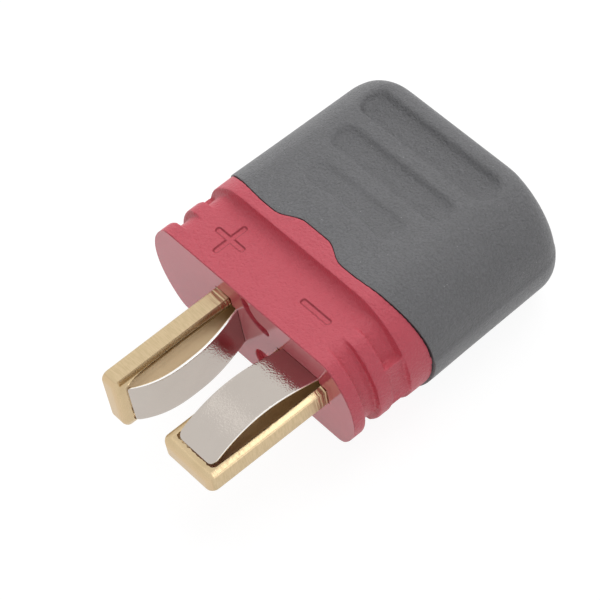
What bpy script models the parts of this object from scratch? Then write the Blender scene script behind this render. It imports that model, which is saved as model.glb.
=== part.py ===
"""T plug battery connector: the male half, with its insulating sheath.

Units are metres, +Z is up. The plug lies on its broad side. X runs along the
front face, from the positive blade to the negative one, the blades point to -Y,
and the sheath closes the back at +Y. Shapes are built round the plug's own axis,
in the plane of the front face, and an empty carries them to their place over the
bottom centre of the whole object.
"""

import math

import bmesh
import bpy

MM = 0.001

# Housing body, a flat-topped section whose two ends are arcs
BODY_WIDTH = 16.3 * MM
BODY_HEIGHT = 6.5 * MM
BODY_END_RADIUS = 4.2 * MM
BODY_CORNER_RADIUS = 0.45 * MM
FACE_EDGE_RADIUS = 0.2 * MM

# Ribs and grooves of the two narrow ends, from the front face backwards
FRONT_RIB = 0.85 * MM
FRONT_GROOVE = 1.05 * MM
REAR_RIB = 0.9 * MM
REAR_GROOVE = 1.15 * MM
GROOVE_DEPTH = 0.5 * MM
GROOVE_RUN_OUT = 0.65 * MM
BLOCK_HEIGHT = 2.7 * MM
BLOCK_SETBACK = 0.3 * MM

# Flange, which stands out round the body, and the outer form that it shares with the sheath
FLANGE_STEP_SIDE = 0.09 * MM
FLANGE_STEP_TOP = 0.8 * MM
OUTER_END_RADIUS = 4.2 * MM
OUTER_CORNER_RADIUS = 1.2 * MM
FLANGE_RAMP = 0.5 * MM
FLANGE_LENGTH = 0.65 * MM

# Wave of the seam between the flange and the sheath
SEAM_LOBE_LENGTH = 0.65 * MM
SEAM_LOBE_FLAT = 0.9 * MM
SEAM_LOBE_FOOT = 2.7 * MM
SEAM_END_FOOT = 3.3 * MM
SEAM_END_RISE = 0.9 * MM
SEAM_GAP = 0.12 * MM

# Boss behind the flange, which the sheath slides over
BOSS_LENGTH = 3.4 * MM
SHEATH_FIT = 0.12 * MM

# Marks in the top of the body, and the two recesses in the front face
MARK_FROM_SIDE = 4.65 * MM
MARK_LENGTH = 2.3 * MM
MARK_STROKE = 0.42 * MM
MARK_DEPTH = 0.25 * MM
MARK_FROM_FACE = 2.05 * MM
SLOT_RADIUS = 1.5 * MM
SLOT_STROKE = 0.36 * MM
SLOT_CENTRE_X = 1.3 * MM
SLOT_CENTRE_Z = 2.95 * MM
SLOT_START = math.radians(188)
SLOT_SWEEP = math.radians(84)
RECESS_DEPTH = 0.6 * MM
DIMPLE_RADIUS = 0.42 * MM
DIMPLE_X = 0.25 * MM
DIMPLE_Z = -1.65 * MM

# Blades: bars with a milled channel in one broad side
BLADE_WIDTH = 3.95 * MM
BLADE_THICKNESS = 1.2 * MM
BLADE_EXPOSED = 7.95 * MM
BLADE_TAB = 3.6 * MM
BLADE_CORNER_RADIUS = 0.5 * MM
BLADE_EDGE_RADIUS = 0.14 * MM
CHANNEL_RIM = 0.4 * MM
CHANNEL_TIP = 0.6 * MM
CHANNEL_DEPTH = 0.7 * MM
CHANNEL_INSIDE = 1.5 * MM
PLUS_BLADE_X = -1.97 * MM
MINUS_BLADE_FROM_SIDE = 3.91 * MM
MINUS_BLADE_Z = 0.4 * MM
BLADE_FIT = 0.05 * MM

# Contact springs: bowed strips whose two ends lie in the channel
SPRING_THICKNESS = 0.18 * MM
SPRING_RISE = 1.15 * MM
SPRING_SIDE_GAP = 0.15 * MM
SPRING_END_GAP = 0.1 * MM
SPRING_INSIDE = 0.8 * MM
POCKET_GAP = 0.12 * MM
POCKET_DEPTH = 1.25 * MM

# Sheath, a tapering shell with one opening for the wires
SHEATH_PROUD = 0.1 * MM
SHEATH_REAR = 15.4 * MM
SHEATH_WIDTH_TAPER = 0.6 * MM
SHEATH_ROUND_SIDE = 1.8 * MM
SHEATH_ROUND_TOP = 1.0 * MM
SHEATH_WALL = 1.1 * MM
SHEATH_REAR_WALL = 1.4 * MM
OUTLET_WIDTH = 9.4 * MM
OUTLET_HEIGHT = 4.8 * MM

# Finger grips across the sheath's top and bottom, from the rear one forwards
GRIP_FROM_REAR = 0.9 * MM
GRIP_LENGTH = 2.0 * MM
GRIP_RIDGE = 0.95 * MM
GRIP_FROM_SIDES = (3.2 * MM, 3.9 * MM, 4.6 * MM)
GRIP_DEPTHS = (0.42 * MM, 0.26 * MM, 0.1 * MM)

# Outer sizes that follow from the body
FLANGE_WIDTH = BODY_WIDTH + 2 * FLANGE_STEP_SIDE
FLANGE_HEIGHT = BODY_HEIGHT + 2 * FLANGE_STEP_TOP
SHEATH_WIDTH = FLANGE_WIDTH + 2 * SHEATH_PROUD
SHEATH_HEIGHT = FLANGE_HEIGHT
MINUS_BLADE_X = BODY_WIDTH / 2 - MINUS_BLADE_FROM_SIDE
MARK_OFFSET = BODY_WIDTH / 2 - MARK_FROM_SIDE

# Places along the plug's axis, counted from the front face
GROOVE_1 = (FRONT_RIB, FRONT_RIB + FRONT_GROOVE)
GROOVE_2 = (GROOVE_1[1] + REAR_RIB, GROOVE_1[1] + REAR_RIB + REAR_GROOVE)
FLANGE_FRONT = GROOVE_2[1]
SEAM = FLANGE_FRONT + FLANGE_LENGTH
BOSS_REAR = SEAM + BOSS_LENGTH
TAB_END = BOSS_REAR + BLADE_TAB
OVERALL_LENGTH = BLADE_EXPOSED + SHEATH_REAR
AXIS_HEIGHT = FLANGE_HEIGHT / 2

NYLON_RED = ("housing_nylon", (0.62, 0.075, 0.11), 0.42, 0.0)
GOLD_PLATE = ("blade_gold", (0.83, 0.62, 0.30), 0.25, 1.0)
NICKEL = ("spring_nickel", (0.66, 0.64, 0.62), 0.3, 1.0)
SHEATH_GREY = ("sheath_grey", (0.085, 0.086, 0.09), 0.62, 0.0)


def clear_scene():
    for leftover in list(bpy.data.objects):
        bpy.data.objects.remove(leftover, do_unlink=True)


def make_collection(name):
    collection = bpy.data.collections.new(name)
    bpy.context.scene.collection.children.link(collection)
    return collection


def make_material(look):
    name, colour, roughness, metallic = look
    material = bpy.data.materials.new(name)
    material.use_nodes = True
    shader = material.node_tree.nodes["Principled BSDF"]
    shader.inputs["Base Color"].default_value = (*colour, 1.0)
    shader.inputs["Roughness"].default_value = roughness
    shader.inputs["Metallic"].default_value = metallic
    return material


def add_object(name, shape, collection, parent):
    """An object of this bmesh, in the frame of the empty that carries the plug."""
    mesh = bpy.data.meshes.new(name)
    bmesh.ops.recalc_face_normals(shape, faces=shape.faces)
    shape.to_mesh(mesh)
    shape.free()
    item = bpy.data.objects.new(name, mesh)
    item.parent = parent
    collection.objects.link(item)
    return item


def boolean(target, operation, other):
    modifier = target.modifiers.new(other.name, "BOOLEAN")
    modifier.operation = operation
    modifier.object = other
    modifier.solver = "EXACT"
    return modifier


def bevel(target, width, segments, angle=math.radians(40)):
    modifier = target.modifiers.new("edges", "BEVEL")
    modifier.width = width
    modifier.segments = segments
    modifier.limit_method = "ANGLE"
    modifier.angle_limit = angle
    return modifier


def arc_points(centre, radius, start, end, steps):
    """Points of an arc in the XZ plane, both ends included."""
    points = []
    for step in range(steps + 1):
        angle = start + (end - start) * step / steps
        points.append((centre[0] + radius * math.cos(angle), centre[1] + radius * math.sin(angle)))
    return points


def section_outline(width, height, end_radius, corner_radius):
    """Outline in XZ: flat top and bottom, arc ends, and a fillet where they meet."""
    half = height / 2
    end_radius = max(end_radius, half * 1.02)
    corner = min(corner_radius, half * 0.6)
    end_centre = width / 2 - end_radius
    corner_z = half - corner
    corner_x = end_centre + math.sqrt((end_radius - corner) ** 2 - corner_z**2)
    meeting = math.atan2(corner_z, corner_x - end_centre)
    quarter = arc_points((end_centre, 0.0), end_radius, 0.0, meeting, 7)
    quarter += arc_points((corner_x, corner_z), corner, meeting, math.pi / 2, 5)[1:]
    left = [(-x, z) for x, z in reversed(quarter)]
    top = quarter + left
    bottom = [(x, -z) for x, z in reversed(top[1:-1])]
    return top + bottom


def prism(name, outline, start, end, collection, parent):
    """An outline in XZ, extruded along Y from start to end."""
    shape = bmesh.new()
    corners = [shape.verts.new((x, start, z)) for x, z in outline]
    face = shape.faces.new(corners)
    grown = bmesh.ops.extrude_face_region(shape, geom=[face])
    moved = [item for item in grown["geom"] if isinstance(item, bmesh.types.BMVert)]
    bmesh.ops.translate(shape, verts=moved, vec=(0.0, end - start, 0.0))
    return add_object(name, shape, collection, parent)


def upright_prism(name, outline, bottom, top, collection, parent):
    """An outline in XY, extruded along Z from bottom to top."""
    shape = bmesh.new()
    corners = [shape.verts.new((x, y, bottom)) for x, y in outline]
    face = shape.faces.new(corners)
    grown = bmesh.ops.extrude_face_region(shape, geom=[face])
    moved = [item for item in grown["geom"] if isinstance(item, bmesh.types.BMVert)]
    bmesh.ops.translate(shape, verts=moved, vec=(0.0, 0.0, top - bottom))
    return add_object(name, shape, collection, parent)


def loft(name, rings, collection, parent):
    """A closed skin over rings of points that have the same count."""
    shape = bmesh.new()
    rows = [[shape.verts.new(point) for point in ring] for ring in rings]
    for near, far in zip(rows, rows[1:]):
        for index, vertex in enumerate(near):
            before = index - 1
            shape.faces.new((near[before], vertex, far[index], far[before]))
    shape.faces.new(rows[0])
    shape.faces.new(rows[-1])
    return add_object(name, shape, collection, parent)


def box(name, low, high, collection, parent):
    shape = bmesh.new()
    bmesh.ops.create_cube(shape, size=1.0)
    size = [b - a for a, b in zip(low, high)]
    centre = [(a + b) / 2 for a, b in zip(low, high)]
    bmesh.ops.scale(shape, vec=size, verts=shape.verts)
    bmesh.ops.translate(shape, vec=centre, verts=shape.verts)
    return add_object(name, shape, collection, parent)


def stroke_outline(length, stroke):
    """A bar along X with round ends, centred on the origin."""
    reach = length / 2 - stroke / 2
    right = arc_points((reach, 0.0), stroke / 2, -math.pi / 2, math.pi / 2, 6)
    left = arc_points((-reach, 0.0), stroke / 2, math.pi / 2, 3 * math.pi / 2, 6)
    return right + left


def seam_offset(x):
    """How far the seam stands behind its lowest line, at this place across the plug."""
    across = abs(x)
    climb = (SEAM_LOBE_FOOT - across) / (SEAM_LOBE_FOOT - SEAM_LOBE_FLAT)
    climb = min(max(climb, 0.0), 1.0)
    lobe = climb * climb * (3 - 2 * climb)
    share = max(across - SEAM_END_FOOT, 0.0) / (FLANGE_WIDTH / 2 - SEAM_END_FOOT)
    return SEAM_LOBE_LENGTH * lobe + SEAM_END_RISE * share**2


def seam_region(gap, far_end):
    """Outline in XY of all that lies from the seam, moved by a gap, to a far end."""
    reach = FLANGE_WIDTH / 2 + 1.0 * MM
    steps = 48
    wave = []
    for step in range(steps + 1):
        x = -reach + 2 * reach * step / steps
        wave.append((x, SEAM + gap + seam_offset(x)))
    return wave + [(reach, far_end), (-reach, far_end)]


def spring_height(y):
    """Height of the strip's outer side over the blade's rim, an arc between its ends."""
    start, end = spring_ends()
    half = (end - start) / 2
    radius = (half**2 + SPRING_RISE**2) / (2 * SPRING_RISE)
    from_middle = y - (start + end) / 2
    return math.sqrt(max(radius**2 - from_middle**2, 0.0)) - (radius - SPRING_RISE)


def spring_ends():
    start = -BLADE_EXPOSED + CHANNEL_TIP + SPRING_END_GAP
    return start, SPRING_INSIDE


def place_plus(item):
    """A part made flat, with its channel up, turned so that the channel faces +X."""
    item.location = (PLUS_BLADE_X, 0.0, 0.0)
    item.rotation_euler = (0.0, math.pi / 2, 0.0)


def place_minus(item):
    item.location = (MINUS_BLADE_X, 0.0, MINUS_BLADE_Z)


def round_corners(shape, corners, radius):
    """Rounds the upright edges of a box at these places in XY."""
    upright = []
    for edge in shape.edges:
        first, second = (vertex.co for vertex in edge.verts)
        is_upright = abs(first.x - second.x) + abs(first.y - second.y) < 1e-9
        at_corner = any(abs(first.x - x) + abs(first.y - y) < 1e-6 for x, y in corners)
        if is_upright and at_corner:
            upright.append(edge)
    bmesh.ops.bevel(
        shape, geom=upright, offset=radius, segments=5, profile=0.5, affect="EDGES"
    )


def blade_bar():
    """The solid bar of a blade, lying flat round the plug's axis."""
    shape = bmesh.new()
    bmesh.ops.create_cube(shape, size=1.0)
    length = BLADE_EXPOSED + TAB_END
    bmesh.ops.scale(shape, vec=(BLADE_WIDTH, length, BLADE_THICKNESS), verts=shape.verts)
    bmesh.ops.translate(shape, vec=(0.0, TAB_END - length / 2, 0.0), verts=shape.verts)
    side = BLADE_WIDTH / 2
    corners = [(x, y) for x in (-side, side) for y in (-BLADE_EXPOSED, TAB_END)]
    round_corners(shape, corners, BLADE_CORNER_RADIUS)
    return shape


def make_blade(name, place, material, parts, cutters, frame):
    blade = add_object(name, blade_bar(), parts, frame)
    bevel(blade, BLADE_EDGE_RADIUS, 2)
    half_channel = BLADE_WIDTH / 2 - CHANNEL_RIM
    channel = box(
        name + "_channel",
        (-half_channel, -BLADE_EXPOSED + CHANNEL_TIP, BLADE_THICKNESS / 2 - CHANNEL_DEPTH),
        (half_channel, CHANNEL_INSIDE, BLADE_THICKNESS),
        cutters,
        frame,
    )
    boolean(blade, "DIFFERENCE", channel)
    place(blade)
    place(channel)
    blade.data.materials.append(material)
    return blade


def make_spring(name, place, material, parts, frame):
    """A flat strip, bowed by its height formula and then given its thickness."""
    start, end = spring_ends()
    half_width = BLADE_WIDTH / 2 - CHANNEL_RIM - SPRING_SIDE_GAP
    shape = bmesh.new()
    bmesh.ops.create_grid(shape, x_segments=1, y_segments=22, size=1.0)
    bmesh.ops.scale(shape, vec=(half_width, (end - start) / 2, 1.0), verts=shape.verts)
    bmesh.ops.translate(shape, vec=(0.0, (start + end) / 2, 0.0), verts=shape.verts)
    for vertex in shape.verts:
        rise = BLADE_THICKNESS / 2 + spring_height(vertex.co.y)
        vertex.co.z = rise
    spring = add_object(name, shape, parts, frame)
    thickness = spring.modifiers.new("thickness", "SOLIDIFY")
    thickness.thickness = SPRING_THICKNESS
    thickness.offset = -1.0
    place(spring)
    spring.data.materials.append(material)
    return spring


def groove_ring(name, span, width, end_radius, collection, frame):
    """All of the body's end that lies outside a groove's floor, along a stretch of Y."""
    reach = BODY_WIDTH / 2 + 2.0 * MM
    tall = BODY_HEIGHT / 2 + 1.0 * MM
    outer = box(name, (-reach, span[0], -tall), (reach, span[1], tall), collection, frame)
    floor = prism(
        name + "_floor",
        section_outline(width, BODY_HEIGHT + 0.02 * MM, end_radius, 0.05 * MM),
        span[0] - 0.5 * MM,
        span[1] + 0.5 * MM,
        collection,
        frame,
    )
    boolean(outer, "DIFFERENCE", floor)
    return outer


def make_housing(material, parts, cutters, frame):
    body_outline = section_outline(BODY_WIDTH, BODY_HEIGHT, BODY_END_RADIUS, BODY_CORNER_RADIUS)
    body = prism("housing", body_outline, 0.0, FLANGE_FRONT + FLANGE_LENGTH, parts, frame)
    bevel(body, FACE_EDGE_RADIUS, 2)

    floor_width = BODY_WIDTH - 2 * GROOVE_DEPTH
    body_sagitta = BODY_END_RADIUS - math.sqrt(BODY_END_RADIUS**2 - (BODY_HEIGHT / 2) ** 2)
    floor_sagitta = body_sagitta + GROOVE_RUN_OUT - GROOVE_DEPTH
    floor_radius = ((BODY_HEIGHT / 2) ** 2 + floor_sagitta**2) / (2 * floor_sagitta)
    for number, span in enumerate((GROOVE_1, GROOVE_2), start=1):
        ring = groove_ring(f"groove_{number}", span, floor_width, floor_radius, cutters, frame)
        boolean(body, "DIFFERENCE", ring)

    block_reach = BODY_WIDTH / 2 - BLOCK_SETBACK
    block = box(
        "end_blocks",
        (-block_reach, GROOVE_2[0] - 0.1 * MM, -BLOCK_HEIGHT / 2),
        (block_reach, GROOVE_2[1] + 0.1 * MM, BLOCK_HEIGHT / 2),
        cutters,
        frame,
    )
    boolean(body, "UNION", block)

    flange_outline = section_outline(
        FLANGE_WIDTH, FLANGE_HEIGHT, OUTER_END_RADIUS, OUTER_CORNER_RADIUS
    )
    ramp_outline = section_outline(
        BODY_WIDTH - 2 * GROOVE_DEPTH, BODY_HEIGHT - 0.1 * MM, BODY_END_RADIUS, OUTER_CORNER_RADIUS
    )
    flange_end = SEAM + SEAM_LOBE_LENGTH + SEAM_END_RISE + 1.0 * MM
    rings = [
        [(x, FLANGE_FRONT - FLANGE_RAMP, z) for x, z in ramp_outline],
        [(x, FLANGE_FRONT, z) for x, z in flange_outline],
        [(x, flange_end, z) for x, z in flange_outline],
    ]
    flange = loft("flange", rings, cutters, frame)
    behind = upright_prism(
        "behind_seam",
        seam_region(0.0, flange_end + 1.0 * MM),
        -FLANGE_HEIGHT,
        FLANGE_HEIGHT,
        cutters,
        frame,
    )
    boolean(flange, "DIFFERENCE", behind)
    boolean(body, "UNION", flange)

    boss_outline = section_outline(
        SHEATH_WIDTH - 2 * (SHEATH_WALL + SHEATH_FIT),
        SHEATH_HEIGHT - 2 * (SHEATH_WALL + SHEATH_FIT),
        OUTER_END_RADIUS - SHEATH_WALL - SHEATH_FIT,
        BODY_CORNER_RADIUS,
    )
    boss = prism("boss", boss_outline, FLANGE_FRONT, BOSS_REAR, cutters, frame)
    boolean(body, "UNION", boss)

    cut_blade_slots(body, cutters, frame)
    cut_marks(body, cutters, frame)
    cut_face_recesses(body, cutters, frame)
    body.data.materials.append(material)
    return body


def cut_blade_slots(body, cutters, frame):
    half_width = BLADE_WIDTH / 2 + BLADE_FIT
    half_thickness = BLADE_THICKNESS / 2 + BLADE_FIT
    pocket_top = BLADE_THICKNESS / 2 + spring_height(0.0) + POCKET_GAP
    pocket_half = BLADE_WIDTH / 2 - CHANNEL_RIM
    for sign, place in (("plus", place_plus), ("minus", place_minus)):
        slot = box(
            sign + "_slot",
            (-half_width, -1.0 * MM, -half_thickness),
            (half_width, BOSS_REAR + 1.0 * MM, half_thickness),
            cutters,
            frame,
        )
        pocket = box(
            sign + "_spring_pocket",
            (-pocket_half, -1.0 * MM, 0.0),
            (pocket_half, POCKET_DEPTH, pocket_top),
            cutters,
            frame,
        )
        for cutter in (slot, pocket):
            place(cutter)
            boolean(body, "DIFFERENCE", cutter)


def cut_marks(body, cutters, frame):
    """The plus and minus signs, sunk into the body's flat top."""
    top = BODY_HEIGHT / 2
    bar = stroke_outline(MARK_LENGTH, MARK_STROKE)
    strokes = (
        ("plus_mark_across", -MARK_OFFSET, 0.0),
        ("plus_mark_along", -MARK_OFFSET, math.pi / 2),
        ("minus_mark", MARK_OFFSET, 0.0),
    )
    for name, x, turn in strokes:
        stroke = upright_prism(name, bar, top - MARK_DEPTH, top + 1.0 * MM, cutters, frame)
        stroke.location = (x, MARK_FROM_FACE, 0.0)
        stroke.rotation_euler = (0.0, 0.0, turn)
        boolean(body, "DIFFERENCE", stroke)


def cut_face_recesses(body, cutters, frame):
    """The curved slot and the round dimple between the blades."""
    centre = (SLOT_CENTRE_X, SLOT_CENTRE_Z)
    finish = SLOT_START + SLOT_SWEEP
    outer = arc_points(centre, SLOT_RADIUS + SLOT_STROKE / 2, SLOT_START, finish, 12)
    inner = arc_points(centre, SLOT_RADIUS - SLOT_STROKE / 2, finish, SLOT_START, 12)
    slot = prism("face_slot", outer + inner, -1.0 * MM, RECESS_DEPTH, cutters, frame)
    round_outline = arc_points((DIMPLE_X, DIMPLE_Z), DIMPLE_RADIUS, 0.0, 2 * math.pi, 16)[:-1]
    dimple = prism("face_dimple", round_outline, -1.0 * MM, RECESS_DEPTH, cutters, frame)
    boolean(body, "DIFFERENCE", slot)
    boolean(body, "DIFFERENCE", dimple)


def rounding_inset(y, radius):
    """How far a rear edge of this radius has drawn in at this place along the sheath."""
    past = y - (SHEATH_REAR - radius)
    if past <= 0:
        return 0.0
    return radius - math.sqrt(max(radius**2 - past**2, 0.0))


def sheath_ring(y):
    """The sheath's outer section at this place, drawn in by its taper and rear edges."""
    taper = SHEATH_WIDTH_TAPER * (y - SEAM) / (SHEATH_REAR - SEAM)
    top_inset = rounding_inset(y, SHEATH_ROUND_TOP)
    outline = section_outline(
        SHEATH_WIDTH - taper - 2 * rounding_inset(y, SHEATH_ROUND_SIDE),
        SHEATH_HEIGHT - 2 * top_inset,
        OUTER_END_RADIUS - top_inset / 2,
        OUTER_CORNER_RADIUS,
    )
    return [(x, y, z) for x, z in outline]


def make_sheath(material, parts, cutters, frame):
    rounding = max(SHEATH_ROUND_SIDE, SHEATH_ROUND_TOP)
    steps = 8
    rings = [sheath_ring(SEAM - 1.0 * MM)]
    for step in range(steps + 1):
        along = math.sin(math.pi / 2 * step / steps)
        rings.append(sheath_ring(SHEATH_REAR - rounding + rounding * along))
    sheath = loft("sheath", rings, parts, frame)

    cavity_outline = section_outline(
        SHEATH_WIDTH - 2 * SHEATH_WALL,
        SHEATH_HEIGHT - 2 * SHEATH_WALL,
        OUTER_END_RADIUS - SHEATH_WALL,
        BODY_CORNER_RADIUS,
    )
    cavity_end = SHEATH_REAR - SHEATH_REAR_WALL
    cavity = prism("sheath_cavity", cavity_outline, SEAM - 2.0 * MM, cavity_end, cutters, frame)
    boolean(sheath, "DIFFERENCE", cavity)

    reach = OUTLET_WIDTH / 2 - OUTLET_HEIGHT / 2
    outlet_outline = arc_points((reach, 0.0), OUTLET_HEIGHT / 2, -math.pi / 2, math.pi / 2, 10)
    outlet_outline += arc_points((-reach, 0.0), OUTLET_HEIGHT / 2, math.pi / 2, 3 * math.pi / 2, 10)
    outlet = prism(
        "wire_outlet", outlet_outline, cavity_end - 1.0 * MM, SHEATH_REAR + 1.0 * MM, cutters, frame
    )
    boolean(sheath, "DIFFERENCE", outlet)

    front = upright_prism(
        "ahead_of_seam",
        seam_region(SEAM_GAP, SEAM - 3.0 * MM),
        -SHEATH_HEIGHT,
        SHEATH_HEIGHT,
        cutters,
        frame,
    )
    boolean(sheath, "DIFFERENCE", front)
    cut_grips(sheath, cutters, frame)
    sheath.data.materials.append(material)
    return sheath


def cut_grips(sheath, cutters, frame):
    """Shallow scoops across the top, and the same across the bottom."""
    rear_edge = SHEATH_REAR - GRIP_FROM_REAR
    surface = SHEATH_HEIGHT / 2
    for number, (from_side, depth) in enumerate(zip(GRIP_FROM_SIDES, GRIP_DEPTHS)):
        half_width = SHEATH_WIDTH / 2 - from_side
        centre_y = rear_edge - GRIP_LENGTH / 2 - number * (GRIP_LENGTH + GRIP_RIDGE)
        radius = ((GRIP_LENGTH / 2) ** 2 + depth**2) / (2 * depth)
        for side in (1, -1):
            shape = bmesh.new()
            bmesh.ops.create_cone(
                shape,
                cap_ends=True,
                segments=64,
                radius1=radius,
                radius2=radius,
                depth=2 * half_width,
            )
            scoop = add_object(f"grip_{number}_{side}", shape, cutters, frame)
            scoop.rotation_euler = (0.0, math.pi / 2, 0.0)
            scoop.location = (0.0, centre_y, side * (surface + radius - depth))
            boolean(sheath, "DIFFERENCE", scoop)


def hide_cutters(cutters):
    for cutter in cutters.objects:
        cutter.hide_render = True
        cutter.display_type = "WIRE"


def shade(parts):
    for item in parts.objects:
        if item.type == "MESH":
            item.data.shade_smooth()
            item.data.set_sharp_from_angle(angle=math.radians(35))


def build():
    clear_scene()
    parts = make_collection("t_plug_connector")
    cutters = make_collection("t_plug_cutters")
    frame = bpy.data.objects.new("plug_axis", None)
    frame.location = (0.0, BLADE_EXPOSED - OVERALL_LENGTH / 2, AXIS_HEIGHT)
    parts.objects.link(frame)

    gold = make_material(GOLD_PLATE)
    nickel = make_material(NICKEL)
    make_housing(make_material(NYLON_RED), parts, cutters, frame)
    make_blade("blade_plus", place_plus, gold, parts, cutters, frame)
    make_blade("blade_minus", place_minus, gold, parts, cutters, frame)
    make_spring("spring_plus", place_plus, nickel, parts, frame)
    make_spring("spring_minus", place_minus, nickel, parts, frame)
    make_sheath(make_material(SHEATH_GREY), parts, cutters, frame)
    hide_cutters(cutters)
    shade(parts)


def main():
    build()


main()
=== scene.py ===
import math

import bmesh
import bpy
from mathutils import Matrix, Vector, noise


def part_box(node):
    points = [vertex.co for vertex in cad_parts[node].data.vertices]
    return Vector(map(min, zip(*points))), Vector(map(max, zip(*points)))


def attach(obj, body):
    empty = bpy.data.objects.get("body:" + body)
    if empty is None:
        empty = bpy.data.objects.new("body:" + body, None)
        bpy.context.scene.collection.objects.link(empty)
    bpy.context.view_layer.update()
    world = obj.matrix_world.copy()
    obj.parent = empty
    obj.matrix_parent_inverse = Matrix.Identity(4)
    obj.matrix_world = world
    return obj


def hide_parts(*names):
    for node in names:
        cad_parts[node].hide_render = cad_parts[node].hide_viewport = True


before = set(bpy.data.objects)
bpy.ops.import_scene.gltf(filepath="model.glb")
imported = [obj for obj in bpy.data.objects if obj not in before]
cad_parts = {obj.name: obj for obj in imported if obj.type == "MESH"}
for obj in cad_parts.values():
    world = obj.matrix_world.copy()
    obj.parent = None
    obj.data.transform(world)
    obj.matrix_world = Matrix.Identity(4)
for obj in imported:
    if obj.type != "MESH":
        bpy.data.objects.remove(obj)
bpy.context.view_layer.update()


# Housing. One moulding of red nylon: two ribs and two grooves round each end, a flange that curves
# up behind them, and a boss that the sheath slides over. Its front face comes polished from the
# mould, and the rest is finely grained. It is made in millimetres, as ovals fused and softened.

BODY_WIDTH = 16.3
BODY_HEIGHT = 6.5
BODY_ROUND = 4.2
FRONT_RIB_END = 0.85
REAR_RIB = (1.9, 2.8)
REAR_RIB_WIDTH = 16.2
GROOVE_FLOOR_WIDTH = 15.3
GROOVE_FLOOR_ROUND = 3.97
FLANGE_WIDTH = 16.34
FLANGE_HEIGHT = 8.1
FLANGE_FRONT = 3.95
SEAM = 4.6
RAMP_LENGTH = 0.62
BOSS = (14.2, 5.7, 2.98)
BOSS_END = 8.0
MOULD_SOFTNESS = 0.06

# The seam's wave: a lobe in the middle, and a slow fall back towards each end.
LOBE_HALF = 2.7
LOBE_SLOPE = 1.8
LOBE_HEIGHT = 0.65
FALL_START = 3.3
FALL_LENGTH = 4.94
FALL_DEPTH = 0.9


def hold(piece):
    """Takes this one piece in hand, with nothing else selected."""
    bpy.ops.object.select_all(action="DESELECT")
    piece.select_set(True)
    bpy.context.view_layer.objects.active = piece


def pick(kind, test):
    """In edit mode, selects the vertices, edges or faces whose middle and direction pass a test."""
    bpy.ops.mesh.select_mode(type=kind)
    bpy.ops.mesh.select_all(action="DESELECT")
    shape = bmesh.from_edit_mesh(bpy.context.object.data)
    if kind == "VERT":
        chosen = [vertex for vertex in shape.verts if test(vertex.co)]
    elif kind == "EDGE":
        chosen = []
        for edge in shape.edges:
            one, other = (vertex.co for vertex in edge.verts)
            if test((one + other) / 2, (other - one).normalized()):
                chosen.append(edge)
    else:
        chosen = [face for face in shape.faces if test(face.calc_center_median(), face.normal)]
    for element in chosen:
        element.select_set(True)
    shape.select_flush_mode()
    bmesh.update_edit_mesh(bpy.context.object.data)


def slice_at(place, direction):
    """Scores the whole piece along a plane, for more points to shape it by."""
    bpy.ops.mesh.select_all(action="SELECT")
    bpy.ops.mesh.bisect(plane_co=place, plane_no=direction)


def oval(width, height, end_radius, shoulder, start, end):
    """A flat-topped oval bar along Y: a cylinder drawn apart sideways and pressed flat."""
    bpy.ops.object.select_all(action="DESELECT")
    bpy.ops.mesh.primitive_cylinder_add(
        vertices=160,
        radius=end_radius,
        depth=end - start,
        location=(0, (start + end) / 2, 0),
        rotation=(math.pi / 2, 0, 0),
    )
    bpy.ops.object.transform_apply()
    bpy.ops.object.mode_set(mode="EDIT")
    apart = width / 2 - end_radius
    pick("VERT", lambda at: at.x > -0.001)
    bpy.ops.transform.translate(value=(apart, 0, 0))
    pick("VERT", lambda at: at.x < 0)
    bpy.ops.transform.translate(value=(-apart, 0, 0))
    bpy.ops.object.mode_set(mode="OBJECT")
    bar = bpy.context.object
    for vertex in bar.data.vertices:
        over = abs(vertex.co.z) - height / 2
        pressed = min(over, 0) - max(shoulder - abs(over), 0) ** 2 / (4 * shoulder)
        vertex.co.z = math.copysign(height / 2 + pressed, vertex.co.z)
    return bar


def slab(low, high):
    """A box between two corners, ready for its edges to be worked."""
    size = [b - a for a, b in zip(low, high)]
    middle = [(a + b) / 2 for a, b in zip(low, high)]
    bpy.ops.object.select_all(action="DESELECT")
    bpy.ops.mesh.primitive_cube_add(size=1, location=middle, scale=size)
    bpy.ops.object.transform_apply()
    return bpy.context.object


def fuse(*pieces):
    """Joins pieces into the first one, as one mesh of several shells."""
    hold(pieces[0])
    for piece in pieces[1:]:
        piece.select_set(True)
    bpy.ops.object.join()
    return pieces[0]


def work(piece, kind, **settings):
    """Puts a modifier on the piece and applies it."""
    modifier = piece.modifiers.new(kind.lower(), kind)
    for name, value in settings.items():
        setattr(modifier, name, value)
    hold(piece)
    bpy.ops.object.modifier_apply(modifier=modifier.name)


def cut_away(piece, cutter):
    work(piece, "BOOLEAN", operation="DIFFERENCE", solver="EXACT", object=cutter)
    bpy.data.objects.remove(cutter)


def seam_wave(x):
    """How far the seam between flange and sheath stands back at this place across the plug."""
    across = abs(x)
    climb = min(max((LOBE_HALF - across) / LOBE_SLOPE, 0.0), 1.0)
    lobe = LOBE_HEIGHT * climb * climb * (3 - 2 * climb)
    share = max(across - FALL_START, 0.0) / FALL_LENGTH
    return lobe + FALL_DEPTH * share**2


def seat(piece, name, node, body):
    """Brings a finished piece from the plug's millimetres to its place in the frame."""
    low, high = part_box("housing")
    place = Matrix.Translation((0, low.y, (low.z + high.z) / 2)) @ Matrix.Scale(0.001, 4)
    piece.data.transform(place)
    piece.name = name
    hold(piece)
    bpy.ops.object.shade_smooth_by_angle(angle=math.radians(38))
    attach(piece, body)
    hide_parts(node)


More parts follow.
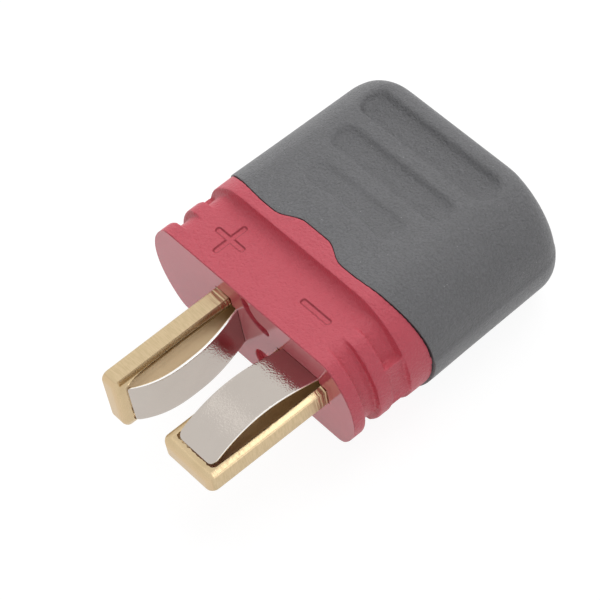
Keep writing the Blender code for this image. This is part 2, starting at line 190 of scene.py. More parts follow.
half_body = BODY_HEIGHT / 2
core = oval(GROOVE_FLOOR_WIDTH, BODY_HEIGHT, GROOVE_FLOOR_ROUND, 0.35, 0.3, 4.3)
front_rib = oval(BODY_WIDTH, BODY_HEIGHT, BODY_ROUND, 0.3, -0.3, FRONT_RIB_END)
rear_rib = oval(REAR_RIB_WIDTH, BODY_HEIGHT, BODY_ROUND, 0.3, *REAR_RIB)

# The rib crests are rounded over by hand, since they are the first edges that a finger meets.
for rib in (front_rib, rear_rib):
    hold(rib)
    bpy.ops.object.mode_set(mode="EDIT")
    pick("EDGE", lambda at, along: abs(at.x) > 6.7 and abs(along.y) < 0.1 and at.y > 0.1)
    bpy.ops.mesh.bevel(offset=0.12, segments=3, affect="EDGES")
    bpy.ops.object.mode_set(mode="OBJECT")

# The flange starts as an oval, its front drawn forwards and down into a hollow ramp.
flange = oval(FLANGE_WIDTH, FLANGE_HEIGHT, BODY_ROUND, 0.15, FLANGE_FRONT, SEAM)
hold(flange)
bpy.ops.object.mode_set(mode="EDIT")
for column in range(-23, 24):
    slice_at((column * 0.35, 0, 0), (1, 0, 0))
shape = bmesh.from_edit_mesh(flange.data)
for vertex in shape.verts:
    if vertex.co.y > SEAM - 0.01:
        vertex.co.y = SEAM + seam_wave(vertex.co.x)
bmesh.update_edit_mesh(flange.data)
pick("FACE", lambda at, facing: facing.y < -0.9)
ramp_steps = 6
drop = half_body - 0.005 - FLANGE_HEIGHT / 2
draw_in = (GROOVE_FLOOR_WIDTH - 0.1 - FLANGE_WIDTH) / 2
for step in range(ramp_steps):
    near = math.pi / 2 * step / ramp_steps
    far = math.pi / 2 * (step + 1) / ramp_steps
    forward = RAMP_LENGTH * (math.cos(near) - math.cos(far))
    tall = FLANGE_HEIGHT / 2 + drop * math.sin(far)
    tall /= FLANGE_HEIGHT / 2 + drop * math.sin(near)
    wide = FLANGE_WIDTH / 2 + draw_in * math.sin(far)
    wide /= FLANGE_WIDTH / 2 + draw_in * math.sin(near)
    bpy.ops.mesh.extrude_region_move(TRANSFORM_OT_translate={"value": (0, -forward, 0)})
    bpy.ops.transform.resize(value=(wide, 1, tall), center_override=(0, 0, 0))
bpy.ops.object.mode_set(mode="OBJECT")

# A block at each end of the rear groove keys the plug into its socket.
END_BLOCK_REACH = 7.87
END_BLOCK_HALF = 1.45
END_BLOCK_SPAN = (2.5, 4.1)
end_blocks = slab(
    (-END_BLOCK_REACH, END_BLOCK_SPAN[0], -END_BLOCK_HALF),
    (END_BLOCK_REACH, END_BLOCK_SPAN[1], END_BLOCK_HALF),
)

housing = fuse(core, front_rib, rear_rib, flange, end_blocks)
work(housing, "REMESH", mode="VOXEL", voxel_size=MOULD_SOFTNESS)
work(housing, "SMOOTH", factor=0.5, iterations=3)
work(housing, "DECIMATE", ratio=0.5)

# The front is cut off square, for a clean edge round the polished face.
bpy.ops.object.mode_set(mode="EDIT")
bpy.ops.mesh.select_all(action="SELECT")
bpy.ops.mesh.bisect(plane_co=(0, 0, 0), plane_no=(0, 1, 0), clear_inner=True, use_fill=True)
bpy.ops.object.mode_set(mode="OBJECT")

# Slots for the blades, pockets for the ends of their springs, and two recesses between them.
# The cutters of each blade are made flat and turned to it, as the blade is.
PLUS_X = -1.97
MINUS_X = 4.24
MINUS_Z = 0.4
BLADE_HALF = 1.975
BLADE_THICK = 1.2
PLUS_PLACE = Matrix.Translation((PLUS_X, 0, 0)) @ Matrix.Rotation(math.pi / 2, 4, "Y")
MINUS_PLACE = Matrix.Translation((MINUS_X, 0, MINUS_Z))

PLUS_SPRING_HALF = 1.37
PLUS_DRIFT = 0.2
MINUS_SPRING_HALF = 1.43
BLADE_GAP = 0.04
SPRING_GAP = 0.02
POCKET_DEPTH = 1.25
POCKET_TOP = 1.07


def cut_slot(piece, place):
    """Lets a blade pass through the piece, with a thin gap all round it."""
    half_wide = BLADE_HALF + BLADE_GAP
    half_high = BLADE_THICK / 2 + BLADE_GAP
    slot = slab((-half_wide, -1, -half_high), (half_wide, 9, half_high))
    slot.data.transform(place)
    cut_away(piece, slot)


for blade_place, spring_half in ((PLUS_PLACE, PLUS_SPRING_HALF), (MINUS_PLACE, MINUS_SPRING_HALF)):
    cut_slot(housing, blade_place)
    half_wide = spring_half + SPRING_GAP
    pocket = slab((-half_wide, -1, 0), (half_wide, POCKET_DEPTH, POCKET_TOP))
    pocket.data.transform(blade_place)
    cut_away(housing, pocket)

# The recesses of the front face: a round dimple below, and a curved slot above it.
RECESS_DEPTH = 0.34
DIMPLE = (0.8, -1.75, 0.95)
SLOT_CENTRE = (1.3, 2.9)
SLOT_RADIUS = 1.24
SLOT_HALF = 0.34
SLOT_SWEEP = (182, 276)


def round_cut(x, z, radius):
    bpy.ops.object.select_all(action="DESELECT")
    bpy.ops.mesh.primitive_cylinder_add(
        vertices=48,
        radius=radius,
        depth=2 * RECESS_DEPTH,
        location=(x, 0, z),
        rotation=(math.pi / 2, 0, 0),
    )
    cut_away(housing, bpy.context.object)


def slot_place(degrees):
    turn = math.radians(degrees)
    return (
        SLOT_CENTRE[0] + SLOT_RADIUS * math.cos(turn),
        SLOT_CENTRE[1] + SLOT_RADIUS * math.sin(turn),
    )


round_cut(*DIMPLE)
for end in SLOT_SWEEP:
    round_cut(*slot_place(end), SLOT_HALF)

# The curved slot is a strip of its own width swept from one of its round ends to the other.
bpy.ops.object.select_all(action="DESELECT")
bpy.ops.mesh.primitive_plane_add(size=2)
arc = bpy.context.object
start_x, start_z = slot_place(SLOT_SWEEP[0])
for vertex in arc.data.vertices:
    vertex.co = (start_x + vertex.co.x * SLOT_HALF, vertex.co.y * RECESS_DEPTH, start_z)
bpy.ops.object.mode_set(mode="EDIT")
bpy.ops.mesh.select_all(action="SELECT")
bpy.ops.mesh.spin(
    steps=18,
    angle=math.radians(SLOT_SWEEP[1] - SLOT_SWEEP[0]),
    center=(SLOT_CENTRE[0], 0, SLOT_CENTRE[1]),
    axis=(0, 1, 0),
    use_auto_merge=False,
)
bpy.ops.mesh.select_all(action="SELECT")
bpy.ops.mesh.remove_doubles(threshold=0.0001)
bpy.ops.mesh.normals_make_consistent(inside=False)
bpy.ops.object.mode_set(mode="OBJECT")
cut_away(housing, arc)


# The plus and minus signs are sunk less than a tenth of a millimetre, with sloping walls.
STROKE_HALF = (1.15, 0.2)
STROKE_DEPTH = 0.07
STROKE_SLOPE = 0.06
PLUS_SIGN = (-3.5, 2.05)
MINUS_SIGN = (3.5, 2.05)


def stroke(place, turn):
    """A cutter for one stroke of a sign, narrower at its floor than at the surface."""
    half_long, half_wide = STROKE_HALF
    floor_long = half_long - STROKE_SLOPE
    floor_wide = half_wide - STROKE_SLOPE
    bar = slab(
        (-floor_long, -floor_wide, half_body - STROKE_DEPTH),
        (floor_long, floor_wide, half_body - 0.01),
    )
    bpy.ops.object.mode_set(mode="EDIT")
    pick("EDGE", lambda at, along: abs(along.z) > 0.9)
    bpy.ops.mesh.bevel(offset=0.12, segments=5, affect="EDGES")
    pick("FACE", lambda at, facing: facing.z > 0.9)
    bpy.ops.transform.resize(value=(half_long / floor_long, half_wide / floor_wide, 1))
    bpy.ops.mesh.extrude_region_move(TRANSFORM_OT_translate={"value": (0, 0, 0.4)})
    bpy.ops.object.mode_set(mode="OBJECT")
    bar.data.transform(Matrix.Translation((*place, 0)) @ Matrix.Rotation(turn, 4, "Z"))
    return bar


cut_away(housing, stroke(PLUS_SIGN, 0))
cut_away(housing, stroke(PLUS_SIGN, math.pi / 2))
cut_away(housing, stroke(MINUS_SIGN, 0))

boss = oval(*BOSS, 0.12, SEAM - 0.2, BOSS_END)
for blade_place in (PLUS_PLACE, MINUS_PLACE):
    cut_slot(boss, blade_place)
work(boss, "BEVEL", width=0.15, segments=2, limit_method="ANGLE", angle_limit=math.radians(50))
housing = fuse(housing, boss)
seat(housing, "nylon_housing", "housing", "housing")


class Socket:
    """A socket of a material, on which arithmetic adds the Math nodes that it needs."""

    def __init__(self, tree, socket):
        self.tree = tree
        self.socket = socket

    def node(self, kind, settings, feeds, output=0):
        """Adds any other node: its settings first, then what its sockets are fed."""
        made = self.tree.nodes.new(kind)
        for name, value in settings.items():
            if name == "stops":
                ramp = made.color_ramp.elements
                for index, (position, colour) in enumerate(value):
                    stop = ramp[index] if index < 2 else ramp.new(position)
                    stop.position = position
                    stop.color = colour
            else:
                setattr(made, name, value)
        for name, fed in feeds.items():
            if isinstance(fed, Socket):
                self.tree.links.new(fed.socket, made.inputs[name])
            else:
                made.inputs[name].default_value = fed
        return Socket(self.tree, made.outputs[output])

    def maths(self, operation, *values):
        return self.node("ShaderNodeMath", {"operation": operation}, dict(enumerate(values)))

    def __add__(self, other):
        return self.maths("ADD", self, other)

    def __mul__(self, other):
        return self.maths("MULTIPLY", self, other)

    def __sub__(self, other):
        return self.maths("SUBTRACT", self, other)

    def __rsub__(self, other):
        return self.maths("SUBTRACT", other, self)

    __radd__ = __add__
    __rmul__ = __mul__

    def between(self, low, high):
        """Climbs smoothly from 0 to 1 as this value goes from low to high."""
        feeds = {"Value": self, "From Min": low, "From Max": high}
        return self.node("ShaderNodeMapRange", {"interpolation_type": "SMOOTHSTEP"}, feeds)

    def blend(self, one, other):
        """Goes from one colour to another by this share."""
        return self.node("ShaderNodeMix", {"data_type": "RGBA"}, {0: self, 6: one, 7: other}, 2)

    def grain(self, size, detail=2.0, rough=0.5):
        """Noise whose lumps are about this many metres across, read at these coordinates."""
        feeds = {"Vector": self, "Scale": 1 / size, "Detail": detail, "Roughness": rough}
        return self.node("ShaderNodeTexNoise", {}, feeds)

    def stretched(self, x, y, z):
        """The same coordinates, drawn together along each axis."""
        return self.node("ShaderNodeMapping", {}, {"Vector": self, "Scale": (x, y, z)})

    def along(self, axis):
        return self.node("ShaderNodeSeparateXYZ", {}, {"Vector": self}, "XYZ".index(axis))


def new_finish(name, colour, roughness, metallic):
    """A material, its shader, and the coordinates of the piece that wears it."""
    material = bpy.data.materials.new(name)
    material.use_nodes = True
    tree = material.node_tree
    shader = tree.nodes["Principled BSDF"]
    shader.inputs["Base Color"].default_value = (*colour, 1)
    shader.inputs["Roughness"].default_value = roughness
    shader.inputs["Metallic"].default_value = metallic
    coordinates = tree.nodes.new("ShaderNodeTexCoord")
    return material, shader, Socket(tree, coordinates.outputs["Object"])


def feed(shader, name, value):
    value.tree.links.new(value.socket, shader.inputs[name])


def relief(shader, height, depth):
    """Raises the surface by a height from 0 to 1, over this depth in metres."""
    feed(shader, "Normal", height.node("ShaderNodeBump", {}, {"Height": height, "Distance": depth}))


def dress(piece, material):
    piece.data.materials.clear()
    piece.data.materials.append(material)


nylon, nylon_shader, spot = new_finish("red_nylon", (0.545, 0.078, 0.109), 0.42, 0.0)
nylon_shader.inputs["IOR"].default_value = 1.47
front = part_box("housing")[0].y
axis_height = sum(corner.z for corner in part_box("housing")) / 2
matte = spot.along("Y").between(front + 0.00001, front + 0.00006)
mottle = spot.grain(0.0011, 3.0)
pale = mottle.blend((0.618, 0.083, 0.118, 1), (0.662, 0.099, 0.136, 1))


def from_outline(place, half_x, half_y):
    """Distance in metres from the outline of one stroke of a sign, below 0 inside it."""
    corner = 0.00018
    aside = spot.along("X") - place[0] * 0.001
    behind = spot.along("Y") - (front + place[1] * 0.001)
    over_x = aside.maths("ABSOLUTE", aside) - (half_x * 0.001 - corner)
    over_y = behind.maths("ABSOLUTE", behind) - (half_y * 0.001 - corner)
    out_x = over_x.maths("MAXIMUM", over_x, 0.0)
    out_y = over_y.maths("MAXIMUM", over_y, 0.0)
    across = out_x * out_x + out_y * out_y
    inner = over_x.maths("MINIMUM", over_x.maths("MAXIMUM", over_x, over_y), 0.0)
    return across.maths("SQRT", across) + inner - corner


# Shade gathers in the corner between the floor and the walls of the sunk signs.
lying = from_outline(PLUS_SIGN, *STROKE_HALF)
plus_outline = lying.maths("MINIMUM", lying, from_outline(PLUS_SIGN, *reversed(STROKE_HALF)))
signs = lying.maths("MINIMUM", plus_outline, from_outline(MINUS_SIGN, *STROKE_HALF)) + 0.00004
on_top = spot.along("Z").between(axis_height + 0.0030, axis_height + 0.0031)
shade = (1 - signs.maths("ABSOLUTE", signs).between(0.00002, 0.00007)) * on_top * 0.65
feed(nylon_shader, "Base Color", shade.blend(pale, (0.27, 0.02, 0.035, 1)))
feed(nylon_shader, "Roughness", 0.1 + matte * 0.32)
stipple = spot.grain(0.00016, 2.0, 0.6) + spot.grain(0.0004, 2.0, 0.5) * 0.25
relief(nylon_shader, stipple * (0.06 + matte), 0.00008)
dress(housing, nylon)


# Blades. Two bars of brass 4 mm wide and 1.2 mm thick, plated with gold. Each has a channel milled
# in one broad side, where its spring lies, and goes through the housing to end as a solder tab.
# The edges keep the cross marks of the shears, and wrinkle where the moulding grips the bar, with
# painted shade in the wrinkles.

TIP = -7.95
TAB_END = 11.6
CORNER_ROUND = 0.48
TIP_ROUND = 0.45
TIP_SLICES = (0.01, 0.04, 0.08, 0.13, 0.19, 0.26, 0.34, 0.45)
SIDE_ROUND_WIDTH = 0.4
SIDE_ROUND_DEPTH = 0.14
SIDE_SLICES = (0.08, 0.16, 0.24, 0.32, 0.4)
TAPER_LENGTH = 3.0
CHANNEL_START = 0.64
CHANNEL_END = 1.5
CHANNEL_FLOOR = 0.14
MOUTH_ROOM = 0.12
FREE_LENGTH = 7.0


def astray(y, drift):
    """How far a channel or a strip strays sideways at this place along its blade."""
    return drift * min(max(-y / FREE_LENGTH, 0.0), 1.0) ** 2


def blade_bar(place, tip_ripple, spring_half, taper, drift):
    """A bar with a dished channel, in its own place: X across, Y along, Z out of the channel."""
    bar = slab((-BLADE_HALF, TIP, -BLADE_THICK / 2), (BLADE_HALF, TAB_END, BLADE_THICK / 2))
    bpy.ops.object.mode_set(mode="EDIT")
    pick("EDGE", lambda at, along: abs(along.z) > 0.9)
    bpy.ops.mesh.bevel(offset=CORNER_ROUND, segments=8, affect="EDGES")
    pick("EDGE", lambda at, along: at.z < 0.01 - BLADE_THICK / 2 and abs(along.z) < 0.1)
    bpy.ops.mesh.bevel(offset=0.14, segments=4, affect="EDGES")
    for behind in TIP_SLICES:
        slice_at((0, TIP + behind, 0), (0, 1, 0))
    for aside in SIDE_SLICES:
        slice_at((BLADE_HALF - aside, 0, 0), (1, 0, 0))
        slice_at((aside - BLADE_HALF, 0, 0), (1, 0, 0))
    bpy.ops.object.mode_set(mode="OBJECT")
    for vertex in bar.data.vertices:
        if vertex.co.z > BLADE_THICK / 2 - 0.01:
            to_tip = max(1 - (vertex.co.y - TIP) / TIP_ROUND, 0.0)
            to_side = max(1 - (BLADE_HALF - abs(vertex.co.x)) / SIDE_ROUND_WIDTH, 0.0)
            vertex.co.z -= TIP_ROUND * (1 - math.sqrt(1 - to_tip**2))
            vertex.co.z -= SIDE_ROUND_DEPTH * to_side**1.2
        if vertex.co.x > 0:
            vertex.co.x -= taper * max(1 - (vertex.co.y - TIP) / TAPER_LENGTH, 0.0)

    # The channel's floor is flat as far as the strip reaches, and curves up to its wider mouth.
    mouth = spring_half + MOUTH_ROOM
    wall_start = spring_half - 0.04
    channel = slab((-mouth, TIP + CHANNEL_START, CHANNEL_FLOOR), (mouth, CHANNEL_END, 1.5))
    bpy.ops.object.mode_set(mode="EDIT")
    pick("EDGE", lambda at, along: abs(along.z) > 0.9)
    bpy.ops.mesh.bevel(offset=0.3, segments=6, affect="EDGES")
    for column in range(-12, 13):
        slice_at((column * 0.1, 0, 0), (1, 0, 0))
    for step in range(5):
        aside = wall_start + (mouth - wall_start) * step / 5
        slice_at((aside, 0, 0), (1, 0, 0))
        slice_at((-aside, 0, 0), (1, 0, 0))
    bpy.ops.object.mode_set(mode="OBJECT")
    for vertex in channel.data.vertices:
        if vertex.co.y < TIP + CHANNEL_START + 0.15:
            vertex.co.y += tip_ripple * noise.noise(Vector((vertex.co.x * 5.0, 3.0, 0)))
        to_side = max(abs(vertex.co.x) - wall_start, 0.0) / (mouth - wall_start)
        if vertex.co.z < CHANNEL_FLOOR + 0.01:
            vertex.co.z += (BLADE_THICK / 2 + 0.01 - CHANNEL_FLOOR) * to_side**2
        vertex.co.x += astray(vertex.co.y, drift)
    cut_away(bar, channel)
    work(bar, "BEVEL", width=0.06, segments=3, limit_method="ANGLE", angle_limit=math.radians(50))
    bar.data.transform(place)
    return bar


def gold_plating(name, axes, middle, rim, beaten):
    """Gold over brass, more or less beaten, with the marks of the shears across its narrow edges.

    The axes are those across the blade and out of its channel. The middle and the rim are where
    the blade's middle and its open side lie on them.
    """
    gold, shader, spot = new_finish(name, (0.62, 0.48, 0.29), 0.27, 1.0)
    near_face = spot.along("Y").between(front - 0.0011, front - 0.0004)
    near_face = near_face * (1 - spot.along("Y").between(front + 0.0004, front + 0.0011))
    aside = spot.along(axes[0]) - middle
    sunk = rim - spot.along(axes[1])
    edge = aside.maths("ABSOLUTE", aside).between(0.00186, 0.00194)
    marks = spot.stretched(0.12, 1.0, 0.12).grain(0.00007, 3.0, 0.65)
    wrinkles = spot.stretched(0.12, 1.0, 0.12).grain(0.00017, 1.0, 0.4)
    hammered = spot.grain(0.0003, 3.0, 0.5)
    cloud = spot.grain(0.0008, 3.0, 0.6)
    plain = cloud.blend((0.58, 0.44, 0.255, 1), (0.68, 0.53, 0.33, 1))
    marked = marks.between(0.3, 0.7).blend((0.585, 0.455, 0.27, 1), (0.68, 0.53, 0.33, 1))
    plated = edge.blend(plain, marked)
    # Painted light: the channel's floor and walls are painted a lighter gold where they lie in
    # shade. The same mask makes the channel rougher and keeps the wrinkles out of it.
    milled_and_painted_light = sunk.between(0.00003, 0.00025) * (1 - edge)
    plated = (milled_and_painted_light * 0.8).blend(plated, (0.68, 0.51, 0.31, 1))
    # Painted shade: the low lines of the wrinkles near the housing's front face are painted darker.
    crease_painted_shade = (1 - wrinkles.between(0.4, 0.52)) * near_face * (1 - milled_and_painted_light) * 0.5
    # Painted shade: a thin dark line is painted along the blade's long edges, for the shading of
    # their rounding.
    edge_painted_shade = aside.maths("ABSOLUTE", aside).between(0.00187, 0.00192) * (1 - edge)
    dark = crease_painted_shade + edge_painted_shade * 0.35
    lined = dark.maths("MINIMUM", dark, 1.0)
    feed(shader, "Base Color", lined.blend(plated, (0.30, 0.17, 0.10, 1)))
    feed(shader, "Roughness", 0.16 + cloud * 0.1 + edge * 0.14 + milled_and_painted_light * 0.15)
    pressed = wrinkles * near_face * (1 - milled_and_painted_light)
    rough = marks * edge * 0.2 + pressed * 1.5 + hammered * (1 - edge) * beaten
    relief(shader, rough, 0.00003)
    return gold


blade_plus = blade_bar(PLUS_PLACE, 0.04, PLUS_SPRING_HALF, 0.17, PLUS_DRIFT)
seat(blade_plus, "plus_blade", "blade_plus", "housing")
plus_rim = PLUS_X * 0.001 + 0.0006
dress(blade_plus, gold_plating("plus_blade_gold", "ZX", axis_height, plus_rim, 0.15))
blade_minus = blade_bar(MINUS_PLACE, 0.09, MINUS_SPRING_HALF, 0.0, 0.0)
seat(blade_minus, "minus_blade", "blade_minus", "housing")
minus_rim = axis_height + 0.001
dress(blade_minus, gold_plating("minus_blade_gold", "XZ", MINUS_X * 0.001, minus_rim, 0.5))


# Springs. A strip of nickel plated spring bronze lies bowed in each blade's channel, its tip under
# the blade's rim and its other end in the housing, and gives as the plug goes into its socket.
# The broad sides are satin, and the edges are bright from the shears.

SPRING_START = TIP + 0.69
SPRING_END = 0.8
SPRING_THICK = 0.15
SPRING_CROWN = -3.5
SPRING_RISE = 1.14


def bow(y, tip_slope):
    """Height of the strip's outer side over the blade's rim: up from the tip, over and back in."""
    bends = (
        (SPRING_START, 0.04, tip_slope),
        (SPRING_CROWN, SPRING_RISE, 0.0),
        (0.0, 0.45, -0.33),
        (1.0, 0.2, 0.0),
    )
    for (y0, low, slope0), (y1, high, slope1) in zip(bends, bends[1:]):
        if y <= y1:
            break
    length = y1 - y0
    t = min(max((y - y0) / length, 0.0), 1.0)
    level = low + (high - low) * t * t * (3 - 2 * t)
    return level + length * t * (1 - t) * (slope0 * (1 - t) - slope1 * t)


def spring_strip(place, half_width, tip_round, tip_slope, drift):
    """A bowed strip with rounded tip corners, closer rows of points towards its tip."""
    bpy.ops.object.select_all(action="DESELECT")
    bpy.ops.mesh.primitive_grid_add(x_subdivisions=12, y_subdivisions=96, size=2)
    strip = bpy.context.object
    strip.data.materials.append(nickel)
    strip.data.materials.append(sheared)
    length = SPRING_END - SPRING_START
    for vertex in strip.data.vertices:
        share = ((vertex.co.y + 1) / 2) ** 1.25
        y = SPRING_START + length * share
        short = max(tip_round - (y - SPRING_START), 0.0)
        pulled = tip_round - math.sqrt(max(tip_round**2 - short**2, 0.0))
        x = vertex.co.x * (half_width - pulled) + astray(y, drift)
        vertex.co = (x, y, BLADE_THICK / 2 + bow(y, tip_slope))
    work(strip, "SOLIDIFY", thickness=SPRING_THICK, offset=-1, material_offset_rim=1)
    hold(strip)
    bpy.ops.object.mode_set(mode="EDIT")
    bpy.ops.mesh.select_all(action="SELECT")
    bpy.ops.mesh.normals_make_consistent(inside=False)
    bpy.ops.object.mode_set(mode="OBJECT")
    work(strip, "BEVEL", width=0.03, segments=2, limit_method="ANGLE", angle_limit=0.9)
    strip.data.transform(place)
    return strip


nickel, nickel_shader, spot = new_finish("satin_nickel", (0.56, 0.505, 0.455), 0.24, 1.0)
satin = spot.grain(0.000105, 1.5, 0.5)
stain = spot.grain(0.0014, 4.0, 0.6)
feed(nickel_shader, "Base Color", stain.blend((0.53, 0.48, 0.435, 1), (0.585, 0.53, 0.48, 1)))
feed(nickel_shader, "Roughness", 0.08 + satin * 0.1)
relief(nickel_shader, satin, 0.000017)
sheared, sheared_shader, spot = new_finish("bright_edge", (0.97, 0.96, 0.95), 0.2, 1.0)
relief(sheared_shader, spot.stretched(0.3, 1, 0.3).grain(0.0001), 0.000004)

spring_plus = spring_strip(PLUS_PLACE, PLUS_SPRING_HALF, 0.15, 0.85, PLUS_DRIFT)
spring_minus = spring_strip(MINUS_PLACE, MINUS_SPRING_HALF, 0.4, 0.6, 0.0)
seat(spring_plus, "plus_strip", "spring_plus", "plus_spring")
seat(spring_minus, "minus_strip", "spring_minus", "minus_spring")


# Sheath. A dark grey cap, moulded with a fine grain, that slides over the boss and the soldered
# wires. Three scoops across its top and bottom give the fingers a grip, and the wires leave
# through an opening in its rear wall. It is drawn out ring by ring, pressed and then hollowed.

SHEATH_WIDTH = 16.52
SHEATH_HEIGHT = 8.1
SHEATH_END = 15.4
SHEATH_FRONT = SEAM + 0.03
SIDE_ROUND = 1.8
TOP_ROUND = 1.0
END_TAPER = 0.3
ROW = 0.1
TURN_ROWS = 24
SHEATH_WALL = 1.1
OUTLET_WIDTH = 9.4
OUTLET_HEIGHT = 4.79


def sheath_half_width(y):
    taper = END_TAPER * (y - SEAM) / (SHEATH_END - SEAM)
    past = max(y - (SHEATH_END - SIDE_ROUND), 0.0)
    return SHEATH_WIDTH / 2 - taper - SIDE_ROUND + math.sqrt(max(SIDE_ROUND**2 - past**2, 0.0))


def sheath_half_height(y):
    past = max(y - (SHEATH_END - TOP_ROUND), 0.0)
    return SHEATH_HEIGHT / 2 - TOP_ROUND + math.sqrt(max(TOP_ROUND**2 - past**2, 0.0))


sheath = oval(SHEATH_WIDTH, SHEATH_HEIGHT, BODY_ROUND, 0.15, SHEATH_FRONT, SHEATH_FRONT + 0.25)
hold(sheath)
bpy.ops.object.mode_set(mode="EDIT")
for column in range(-23, 24):
    slice_at((column * 0.25, 0, 0), (1, 0, 0))
rows = [SHEATH_FRONT + 0.25]
while rows[-1] < SHEATH_END - SIDE_ROUND - ROW:
    rows.append(rows[-1] + ROW)
for step in range(1, TURN_ROWS + 1):
    turn = math.pi / 2 * step / TURN_ROWS
    rows.append(SHEATH_END - SIDE_ROUND + SIDE_ROUND * math.sin(turn))
pick("FACE", lambda at, facing: facing.y > 0.9)
for near, far in zip(rows, rows[1:]):
    wide = sheath_half_width(far) / sheath_half_width(near)
    tall = sheath_half_height(far) / sheath_half_height(near)
    bpy.ops.mesh.extrude_region_move(TRANSFORM_OT_translate={"value": (0, far - near, 0)})
    bpy.ops.transform.resize(value=(wide, 1, tall), center_override=(0, 0, 0))
pick("FACE", lambda at, facing: facing.y < -0.9)
bpy.ops.mesh.delete(type="FACE")
bpy.ops.object.mode_set(mode="OBJECT")

# Each scoop: front edge, rear edge, half width and depth.
SCOOPS = ((12.3, 14.32, 5.5, 0.54), (9.65, 11.55, 4.8, 0.38), (7.15, 8.95, 3.9, 0.18))
FRONT_WALL = 0.16
REAR_WALL = 0.42
END_WALL = 0.8
END_FADE = 1.5


def scoop_depth(x, y):
    """Depth of the finger scoops: steep walls, a floor that rises rearwards, and fading ends."""
    deepest = 0.0
    for front_edge, rear_edge, reach, depth in SCOOPS:
        half = (rear_edge - front_edge) / 2
        past = y - (front_edge + rear_edge) / 2
        beside = max(abs(x) - (reach - half), 0.0)
        inside = half - math.hypot(beside, past)
        if inside <= 0:
            continue
        to_rear = (past / half + 1) / 2
        at_end = min(beside / half, 1.0)
        wall = (FRONT_WALL if to_rear < 0.5 else REAR_WALL) + END_WALL * at_end
        fade = min((reach - abs(x)) / END_FADE, 1.0)
        climb = min(inside / wall, 1.0)
        hollow = 1 - 0.8 * (1 - at_end) * to_rear**3
        sunk = 0.4 + 0.6 * fade * fade * (3 - 2 * fade)
        deepest = max(deepest, depth * climb * climb * (3 - 2 * climb) * hollow * sunk)
    return deepest


# Its front edge follows the seam, and its lower half is a little wider, as from a mould in halves.
for vertex in sheath.data.vertices:
    x, y, z = vertex.co
    squeeze = max(1 - (y - SHEATH_FRONT) / 3.5, 0.0)
    if abs(z) > 3.0 and abs(x) < 6.5:
        z -= math.copysign(scoop_depth(x, y), z)
    if z < -0.01 and abs(x) > 6:
        x += math.copysign(0.05, x)
    vertex.co = (x, y + seam_wave(x) * squeeze, z)

work(sheath, "SOLIDIFY", thickness=SHEATH_WALL, offset=-1, use_even_offset=True)
outlet = oval(OUTLET_WIDTH, OUTLET_HEIGHT, 2.4, 0.005, 13.0, 16.0)
cut_away(sheath, outlet)
work(sheath, "BEVEL", width=0.065, segments=3, limit_method="ANGLE", angle_limit=math.radians(60))
seat(sheath, "sheath_cap", "sheath", "sheath")

cap, cap_shader, spot = new_finish("grained_grey", (0.135, 0.135, 0.139), 0.4, 0.0)
# Painted glints: light grey dots scattered over the cap stand in for the sparkle of its grain.
cell = {"Vector": spot, "Scale": 3000.0}
glint_dot = 1 - spot.node("ShaderNodeTexVoronoi", {}, cell).between(0.05, 0.11)
glint_chance = spot.node("ShaderNodeTexVoronoi", {}, cell, 1).along("X").between(0.82, 0.83)
tone = spot.grain(0.0014, 3.0)
grit = spot.grain(0.00013, 2.0, 0.7)
fine = grit.between(0.3, 0.75) * 0.6 + tone * 0.4
toned = fine.blend((0.131, 0.131, 0.136, 1), (0.198, 0.198, 0.206, 1))
# Painted light: the lower half of the cap is painted lighter, for the light that the white floor
# throws up on it.
lower = 1 - spot.along("Z").between(axis_height - 0.00004, axis_height)
toned_with_painted_light = (lower * 0.12).blend(toned, (0.4, 0.4, 0.41, 1))
feed(cap_shader, "Base Color", (glint_dot * glint_chance).blend(toned_with_painted_light, (0.4, 0.4, 0.4, 1)))
relief(cap_shader, grit + spot.grain(0.0003, 2.0, 0.5) * 0.5, 0.0001)
dress(sheath, cap)


# Floor, light and camera. The plug lies on plain white paper in a white room, under one broad
# soft lamp, and the camera looks down on it from its right front, as in the photograph. The paper
# glows white to the camera and in reflections, and keeps the plug's shadow.

bpy.ops.object.select_all(action="DESELECT")
bpy.ops.mesh.primitive_plane_add(size=1.2, location=(0, 0, 0))
floor = bpy.context.object
floor.name = "floor"

paper, paper_shader, spot = new_finish("white_paper", (0.86, 0.86, 0.86), 0.9, 0.0)
paper_shader.inputs["Specular IOR Level"].default_value = 0.0
rays = spot.node("ShaderNodeLightPath", {}, {})
path = rays.socket.node
to_camera = Socket(spot.tree, path.outputs["Is Camera Ray"]) * 0.82
to_gloss = Socket(spot.tree, path.outputs["Is Glossy Ray"]) * 0.74
seen = to_camera.maths("MAXIMUM", to_camera, to_gloss)
glow = spot.tree.nodes.new("ShaderNodeEmission")
glow.inputs["Strength"].default_value = 1.12
surface = Socket(spot.tree, paper_shader.outputs[0])
shining = Socket(spot.tree, glow.outputs[0])
mixed = spot.node("ShaderNodeMixShader", {}, {0: seen, 1: surface, 2: shining})
spot.tree.links.new(mixed.socket, spot.tree.nodes["Material Output"].inputs["Surface"])
dress(floor, paper)

world = bpy.data.worlds.new("white_room")
bpy.context.scene.world = world
world.use_nodes = True
room = world.node_tree
background = room.nodes["Background"]
background.inputs["Color"].default_value = (1, 1, 1, 1)
path = room.nodes.new("ShaderNodeLightPath")
to_camera = Socket(room, path.outputs["Is Camera Ray"])
to_gloss = Socket(room, path.outputs["Is Glossy Ray"])
seen = to_camera.maths("MAXIMUM", to_camera, to_gloss)
room.links.new((0.36 + seen * 0.62).socket, background.inputs["Strength"])

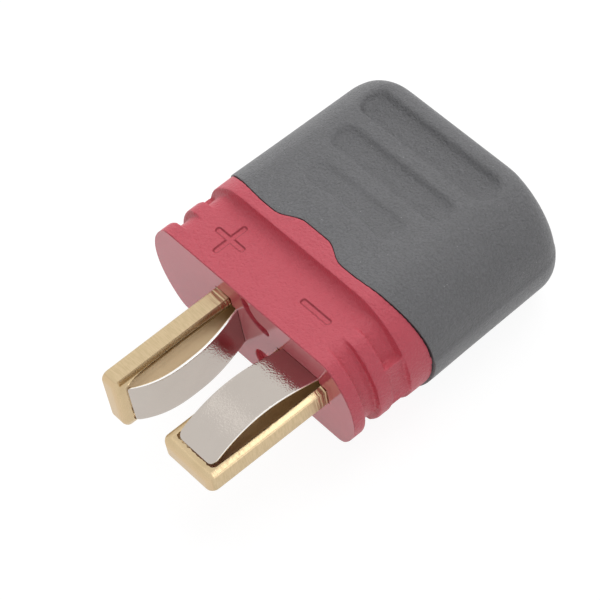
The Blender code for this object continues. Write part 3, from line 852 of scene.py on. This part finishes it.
# The broad lamp lights the plug unseen by the metal, which mirrors weaker copies of it.
for name, place, size, energy, mirrored in (
    ("soft_lamp", (-0.21, 0.29, 0.42), 0.6, 1.95, False),
    ("soft_lamp_mirrored", (-0.21, 0.29, 0.42), 0.75, 0.5, True),
    ("small_lamp", (0.10, 0.155, 0.465), 0.22, 0.2, True),
    ("front_fill", (0.26, -0.28, 0.07), 0.3, 0.2, False),
):
    lamp_data = bpy.data.lights.new(name, "AREA")
    lamp_data.shape = "SQUARE"
    lamp_data.size = size
    lamp_data.energy = energy
    lamp = bpy.data.objects.new(name, lamp_data)
    bpy.context.scene.collection.objects.link(lamp)
    lamp.location = place
    lamp.visible_glossy = mirrored
    lamp.rotation_euler = Vector(place).to_track_quat("Z", "Y").to_euler()

# The photo's view, solved from the plug's own edges: how the camera is turned, where it stands
# from the middle of the front face in millimetres, and its focal length in pixels.
azimuth = math.radians(59.95)
elevation = math.radians(51.23)
roll = math.radians(-13.28)
CAMERA_ACROSS = 2.5064
CAMERA_UP = 1.8733
CAMERA_BACK = 176.456
FOCAL_PIXELS = 3346.2
PICTURE_PIXELS = 600
SENSOR_WIDTH = 36

side = Vector((math.cos(azimuth), math.sin(azimuth), 0))
level = Vector((math.sin(azimuth), -math.cos(azimuth), 0))
back = level * math.cos(elevation) + Vector((0, 0, math.sin(elevation)))
upward = back.cross(side)
across = side * math.cos(roll) + upward * math.sin(roll)
upright = upward * math.cos(roll) - side * math.sin(roll)
low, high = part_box("housing")
plug = Vector((0, low.y, (low.z + high.z) / 2))

camera_data = bpy.data.cameras.new("camera")
camera_data.sensor_width = SENSOR_WIDTH
camera_data.lens = FOCAL_PIXELS / PICTURE_PIXELS * SENSOR_WIDTH
camera_data.clip_start = 0.01
camera = bpy.data.objects.new("camera", camera_data)
bpy.context.scene.collection.objects.link(camera)
spin = Matrix((across, upright, back)).transposed().to_4x4()
away = CAMERA_ACROSS * across + CAMERA_UP * upright + CAMERA_BACK * back
camera.matrix_world = Matrix.Translation(plug + 0.001 * away) @ spin
bpy.context.scene.camera = camera
bpy.context.scene.view_settings.view_transform = "Standard"
